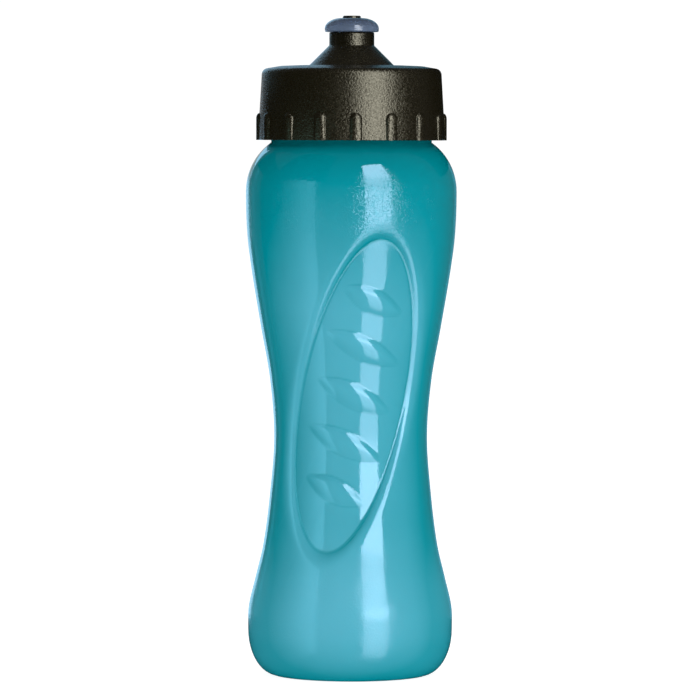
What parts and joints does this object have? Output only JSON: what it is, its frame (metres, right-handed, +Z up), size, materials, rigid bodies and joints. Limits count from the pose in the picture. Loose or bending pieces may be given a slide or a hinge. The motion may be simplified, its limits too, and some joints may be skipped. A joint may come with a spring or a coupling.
{
  "type": "sports squeeze bottle",
  "caption": "Waisted translucent squeeze bottle with an oval finger grip, a ribbed screw lid with a sealing washer, and a push-pull drinking valve.",
  "frame": {"origin": "centre of the base, on the surface that the bottle stands on", "axes": "+Z up the bottle's axis, -Y out of the front grip, +X to the right of someone facing that grip"},
  "size_m": [0.074, 0.074, 0.2315],
  "materials": {
    "bottle_plastic": "glossy translucent teal polyethylene",
    "lid_plastic": "fine spark-eroded grain, black",
    "gasket_silicone": "soft satin silicone, off-white",
    "valve_plastic": "translucent blue-grey elastomer"
  },
  "bodies": {
    "bottle": {"bottle_body": "bottle_plastic"},
    "washer": {"lid_gasket": "gasket_silicone"},
    "lid": {"screw_lid": "lid_plastic", "valve_post": "lid_plastic"},
    "valve": {"pull_valve": "valve_plastic"}
  },
  "joints": [
    {"name": "lid_rise", "type": "slide", "parent": "bottle", "child": "washer", "axis": [0, 0, 1], "range_m": [0, 0.024]},
    {"name": "lid_turn", "type": "hinge", "parent": "washer", "child": "lid", "pos_m": [0, 0, 0.1879], "axis": [0, 0, 1], "range_deg": [0, 1080]},
    {"name": "valve_pull", "type": "slide", "parent": "lid", "child": "valve", "axis": [0, 0, 1], "range_m": [0, 0.0055]}
  ],
  "couplings": [
    {"joint": "lid_rise", "follows": "lid_turn", "m_per_rad": 0.0012732}
  ]
}
